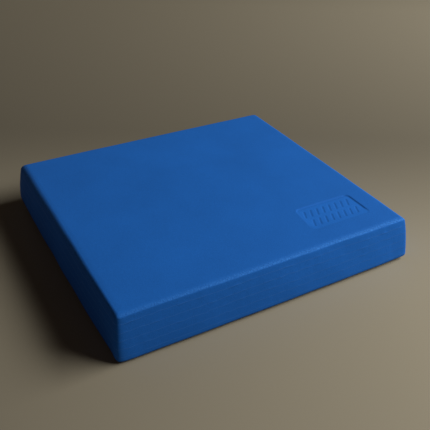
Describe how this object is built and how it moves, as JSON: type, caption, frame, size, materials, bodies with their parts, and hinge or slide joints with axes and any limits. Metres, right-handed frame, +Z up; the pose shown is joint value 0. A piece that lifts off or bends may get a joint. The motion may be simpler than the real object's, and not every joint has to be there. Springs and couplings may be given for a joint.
{
  "type": "balance pad",
  "caption": "Low rectangular foam pad for standing balance exercises, laminated from equal sheets, with rounded edges and a shallow recessed panel in one corner.",
  "frame": {"origin": "centre of the underside, on the floor", "axes": "+X along the long side towards the end with the recessed panel, -Y towards the front side nearest that panel, +Z up"},
  "size_m": [0.3998, 0.3638, 0.06],
  "materials": {
    "foam_skin": "matte closed-cell foam with a fine pebbled skin",
    "foam_core": "matte closed-cell foam, knife-cut side",
    "bond_film": "thin matte bond line, a little lighter than the foam"
  },
  "bodies": {
    "root": {"top_sheet": "foam_skin", "core_sheet_1": "foam_core", "core_sheet_2": "foam_core", "core_sheet_3": "foam_core", "core_sheet_4": "foam_core", "base_sheet": "foam_skin", "bond_film_1": "bond_film", "bond_film_2": "bond_film", "bond_film_3": "bond_film", "bond_film_4": "bond_film", "bond_film_5": "bond_film"}
  },
  "joints": []
}
